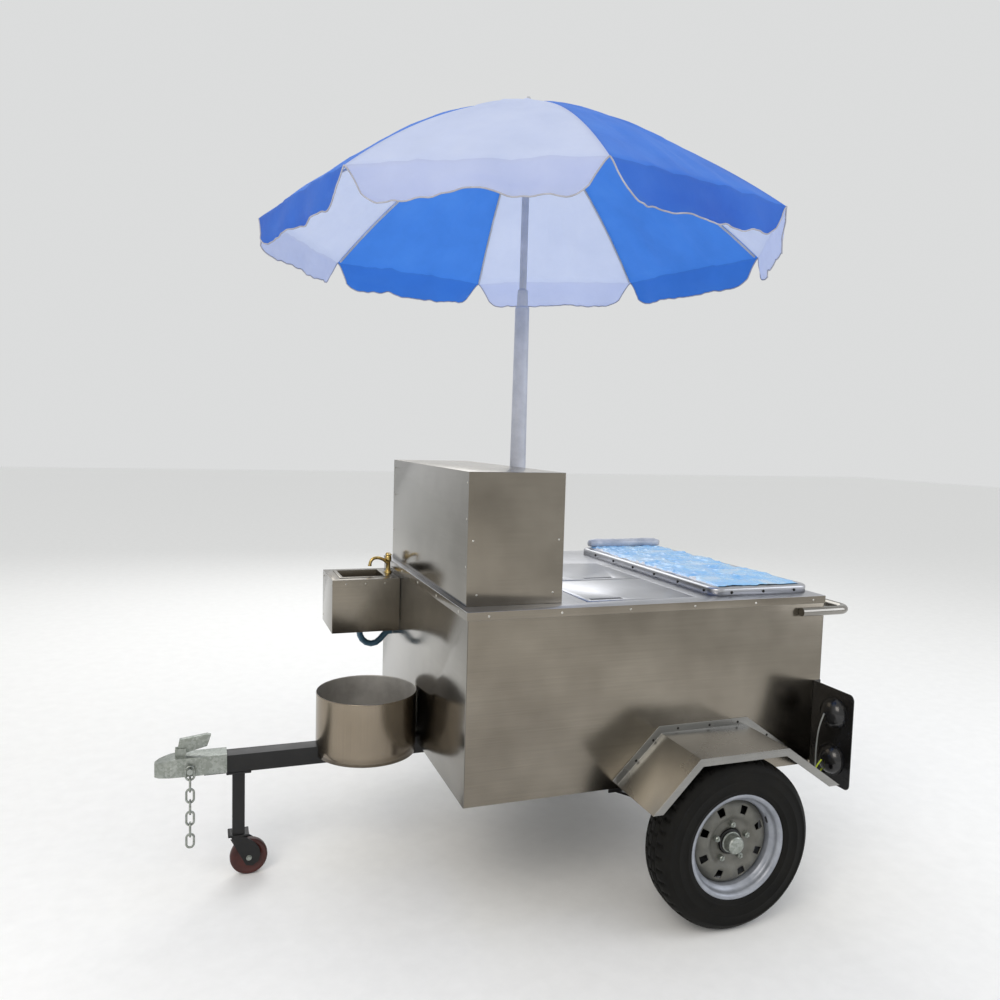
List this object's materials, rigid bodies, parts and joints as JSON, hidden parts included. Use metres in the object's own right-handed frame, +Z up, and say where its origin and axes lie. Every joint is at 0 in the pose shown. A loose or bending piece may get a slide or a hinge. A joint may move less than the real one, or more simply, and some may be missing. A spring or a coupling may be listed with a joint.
{
  "type": "towable vending cart",
  "caption": "Towable stainless steel food vending cart with umbrella, sink, gas bottle holder, fendered wheels, tow coupler and swivelling front caster.",
  "frame": {"origin": "on the ground, midway between the coupler's nose and the push handle's crossbar, on the cart's centre plane", "axes": "+X to the rear (push handle), -X to the coupler; +Y to the side with the sink; +Z up"},
  "size_m": [2.275, 1.8368, 2.728],
  "materials": {
    "black_paint": "satin",
    "black_plastic": "satin",
    "brass": "polished",
    "canopy_cloth": "matt",
    "counter_steel": "satin",
    "galvanised_steel": "dull",
    "hose_rubber": "satin",
    "pole_paint": "gloss",
    "red_wheel": "matt",
    "silver_paint": "satin",
    "stainless_steel": "brushed",
    "tyre_rubber": "matt"
  },
  "bodies": {
    "cart": {"side_panel_left": "stainless_steel", "side_panel_right": "stainless_steel", "front_panel": "stainless_steel", "rear_panel": "stainless_steel", "floor_panel": "stainless_steel", "countertop": "counter_steel", "steam_pan": "stainless_steel", "serving_cover": "stainless_steel", "tank_cabinet": "stainless_steel", "push_handle": "stainless_steel", "lamp_plate_left": "black_plastic", "lamp_plate_right": "black_plastic", "fender_left": "stainless_steel", "fender_right": "stainless_steel", "chassis_frame": "black_paint", "leaf_spring_left": "black_paint", "leaf_spring_right": "black_paint", "axle": "black_paint", "drawbar": "black_paint", "coupler_housing": "galvanised_steel", "jack_leg": "black_paint", "gas_bottle_holder": "stainless_steel", "sink_shell": "stainless_steel", "sink_basin": "stainless_steel", "tap_body": "brass", "drain_hose": "hose_rubber", "umbrella_socket": "pole_paint"},
    "left_wheel": {"hub_left": "galvanised_steel", "wheel_rim_left": "silver_paint", "tyre_left": "tyre_rubber"},
    "right_wheel": {"hub_right": "galvanised_steel", "wheel_rim_right": "silver_paint", "tyre_right": "tyre_rubber"},
    "caster_swivel": {"caster_fork": "black_paint"},
    "caster_roller": {"caster_wheel": "red_wheel"},
    "latch": {"coupler_latch": "galvanised_steel"},
    "chain": {"safety_chain": "galvanised_steel"},
    "door": {"rear_door": "stainless_steel"},
    "left_lid": {"well_lid_left": "counter_steel"},
    "right_lid": {"well_lid_right": "counter_steel"},
    "tap_handle": {"tap_lever": "brass"},
    "mast": {"umbrella_pole": "pole_paint", "canopy": "canopy_cloth"},
    "runner": {"umbrella_runner": "black_plastic"},
    "rib_arm_1": {"rib_1": "galvanised_steel"},
    "stretcher_arm_1": {"stretcher_1": "galvanised_steel"},
    "rib_arm_2": {"rib_2": "galvanised_steel"},
    "stretcher_arm_2": {"stretcher_2": "galvanised_steel"},
    "rib_arm_3": {"rib_3": "galvanised_steel"},
    "stretcher_arm_3": {"stretcher_3": "galvanised_steel"},
    "rib_arm_4": {"rib_4": "galvanised_steel"},
    "stretcher_arm_4": {"stretcher_4": "galvanised_steel"},
    "rib_arm_5": {"rib_5": "galvanised_steel"},
    "stretcher_arm_5": {"stretcher_5": "galvanised_steel"},
    "rib_arm_6": {"rib_6": "galvanised_steel"},
    "stretcher_arm_6": {"stretcher_6": "galvanised_steel"},
    "rib_arm_7": {"rib_7": "galvanised_steel"},
    "stretcher_arm_7": {"stretcher_7": "galvanised_steel"},
    "rib_arm_8": {"rib_8": "galvanised_steel"},
    "stretcher_arm_8": {"stretcher_8": "galvanised_steel"}
  },
  "joints": [
    {"name": "left_wheel_roll", "type": "hinge", "parent": "cart", "child": "left_wheel", "pos_m": [0.5635, -0.737, 0.2725], "axis": [0, 1, 0], "continuous": true},
    {"name": "right_wheel_roll", "type": "hinge", "parent": "cart", "child": "right_wheel", "pos_m": [0.5635, 0.737, 0.2725], "axis": [0, 1, 0], "continuous": true},
    {"name": "caster_turn", "type": "hinge", "parent": "cart", "child": "caster_swivel", "pos_m": [-0.8745, 0, 0.138], "axis": [0, 0, 1], "continuous": true},
    {"name": "caster_roll", "type": "hinge", "parent": "caster_swivel", "child": "caster_roller", "pos_m": [-0.8405, 0, 0.062], "axis": [0, 1, 0], "continuous": true},
    {"name": "latch_lift", "type": "hinge", "parent": "cart", "child": "latch", "pos_m": [-1.0575, 0, 0.452], "axis": [0, -1, 0], "range_deg": [0, 80]},
    {"name": "chain_swing", "type": "hinge", "parent": "cart", "child": "chain", "pos_m": [-1.0275, -0.053, 0.405], "axis": [0, 1, 0], "range_deg": [-35, 35]},
    {"name": "door_swing", "type": "hinge", "parent": "cart", "child": "door", "pos_m": [1.033, 0.289, 0.707], "axis": [0, 0, 1], "range_deg": [0, 110]},
    {"name": "left_lid_lift", "type": "hinge", "parent": "cart", "child": "left_lid", "pos_m": [0.3555, -0.155, 1.0004], "axis": [-1, 0, 0], "range_deg": [0, 100]},
    {"name": "right_lid_lift", "type": "hinge", "parent": "cart", "child": "right_lid", "pos_m": [0.3555, 0.2155, 1.0004], "axis": [-1, 0, 0], "range_deg": [0, 100]},
    {"name": "tap_turn", "type": "hinge", "parent": "cart", "child": "tap_handle", "pos_m": [-0.2815, 0.423, 1.03], "axis": [0, 0, 1], "range_deg": [-80, 30]},
    {"name": "umbrella_turn", "type": "hinge", "parent": "cart", "child": "mast", "pos_m": [0.1055, 0, 1.8], "axis": [0, 0, 1], "continuous": true},
    {"name": "runner_slide", "type": "slide", "parent": "mast", "child": "runner", "axis": [0, 0, -1], "range_m": [0, 0.36693], "deforming": ["canopy"]},
    {"name": "rib_fold_1", "type": "hinge", "parent": "mast", "child": "rib_arm_1", "pos_m": [0.10216, -0.02377, 2.69], "axis": [0.9903, -0.1392, 0], "range_deg": [0, 52.67]},
    {"name": "stretcher_fold_1", "type": "hinge", "parent": "runner", "child": "stretcher_arm_1", "pos_m": [0.10895, -0.02573, 2.49], "axis": [-0.9903, 0.1392, 0], "range_deg": [0, 56.32]},
    {"name": "rib_fold_2", "type": "hinge", "parent": "mast", "child": "rib_arm_2", "pos_m": [0.11994, -0.01917, 2.69], "axis": [0.7986, 0.6018, 0], "range_deg": [0, 52.67]},
    {"name": "stretcher_fold_2", "type": "hinge", "parent": "runner", "child": "stretcher_arm_2", "pos_m": [0.12614, -0.01575, 2.49], "axis": [-0.7986, -0.6018, 0], "range_deg": [0, 56.32]},
    {"name": "rib_fold_3", "type": "hinge", "parent": "mast", "child": "rib_arm_3", "pos_m": [0.12927, -0.00334, 2.69], "axis": [0.1392, 0.9903, 0], "range_deg": [0, 52.67]},
    {"name": "stretcher_fold_3", "type": "hinge", "parent": "runner", "child": "stretcher_arm_3", "pos_m": [0.13123, 0.00345, 2.49], "axis": [-0.1392, -0.9903, 0], "range_deg": [0, 56.32]},
    {"name": "rib_fold_4", "type": "hinge", "parent": "mast", "child": "rib_arm_4", "pos_m": [0.12467, 0.01444, 2.69], "axis": [-0.6018, 0.7986, 0], "range_deg": [0, 52.67]},
    {"name": "stretcher_fold_4", "type": "hinge", "parent": "runner", "child": "stretcher_arm_4", "pos_m": [0.12125, 0.02064, 2.49], "axis": [0.6018, -0.7986, 0], "range_deg": [0, 56.32]},
    {"name": "rib_fold_5", "type": "hinge", "parent": "mast", "child": "rib_arm_5", "pos_m": [0.10884, 0.02377, 2.69], "axis": [-0.9903, 0.1392, 0], "range_deg": [0, 52.67]},
    {"name": "stretcher_fold_5", "type": "hinge", "parent": "runner", "child": "stretcher_arm_5", "pos_m": [0.10205, 0.02573, 2.49], "axis": [0.9903, -0.1392, 0], "range_deg": [0, 56.32]},
    {"name": "rib_fold_6", "type": "hinge", "parent": "mast", "child": "rib_arm_6", "pos_m": [0.09106, 0.01917, 2.69], "axis": [-0.7986, -0.6018, 0], "range_deg": [0, 52.67]},
    {"name": "stretcher_fold_6", "type": "hinge", "parent": "runner", "child": "stretcher_arm_6", "pos_m": [0.08486, 0.01575, 2.49], "axis": [0.7986, 0.6018, 0], "range_deg": [0, 56.32]},
    {"name": "rib_fold_7", "type": "hinge", "parent": "mast", "child": "rib_arm_7", "pos_m": [0.08173, 0.00334, 2.69], "axis": [-0.1392, -0.9903, 0], "range_deg": [0, 52.67]},
    {"name": "stretcher_fold_7", "type": "hinge", "parent": "runner", "child": "stretcher_arm_7", "pos_m": [0.07977, -0.00345, 2.49], "axis": [0.1392, 0.9903, 0], "range_deg": [0, 56.32]},
    {"name": "rib_fold_8", "type": "hinge", "parent": "mast", "child": "rib_arm_8", "pos_m": [0.08633, -0.01444, 2.69], "axis": [0.6018, -0.7986, 0], "range_deg": [0, 52.67]},
    {"name": "stretcher_fold_8", "type": "hinge", "parent": "runner", "child": "stretcher_arm_8", "pos_m": [0.08975, -0.02064, 2.49], "axis": [-0.6018, 0.7986, 0], "range_deg": [0, 56.32]}
  ],
  "couplings": [
    {"joint": "rib_fold_1", "follows": "runner_slide", "rad_per_m": 2.4959},
    {"joint": "stretcher_fold_1", "follows": "runner_slide", "rad_per_m": 2.6694},
    {"joint": "rib_fold_2", "follows": "runner_slide", "rad_per_m": 2.4959},
    {"joint": "stretcher_fold_2", "follows": "runner_slide", "rad_per_m": 2.6694},
    {"joint": "rib_fold_3", "follows": "runner_slide", "rad_per_m": 2.4959},
    {"joint": "stretcher_fold_3", "follows": "runner_slide", "rad_per_m": 2.6694},
    {"joint": "rib_fold_4", "follows": "runner_slide", "rad_per_m": 2.4959},
    {"joint": "stretcher_fold_4", "follows": "runner_slide", "rad_per_m": 2.6694},
    {"joint": "rib_fold_5", "follows": "runner_slide", "rad_per_m": 2.4959},
    {"joint": "stretcher_fold_5", "follows": "runner_slide", "rad_per_m": 2.6694},
    {"joint": "rib_fold_6", "follows": "runner_slide", "rad_per_m": 2.4959},
    {"joint": "stretcher_fold_6", "follows": "runner_slide", "rad_per_m": 2.6694},
    {"joint": "rib_fold_7", "follows": "runner_slide", "rad_per_m": 2.4959},
    {"joint": "stretcher_fold_7", "follows": "runner_slide", "rad_per_m": 2.6694},
    {"joint": "rib_fold_8", "follows": "runner_slide", "rad_per_m": 2.4959},
    {"joint": "stretcher_fold_8", "follows": "runner_slide", "rad_per_m": 2.6694}
  ]
}
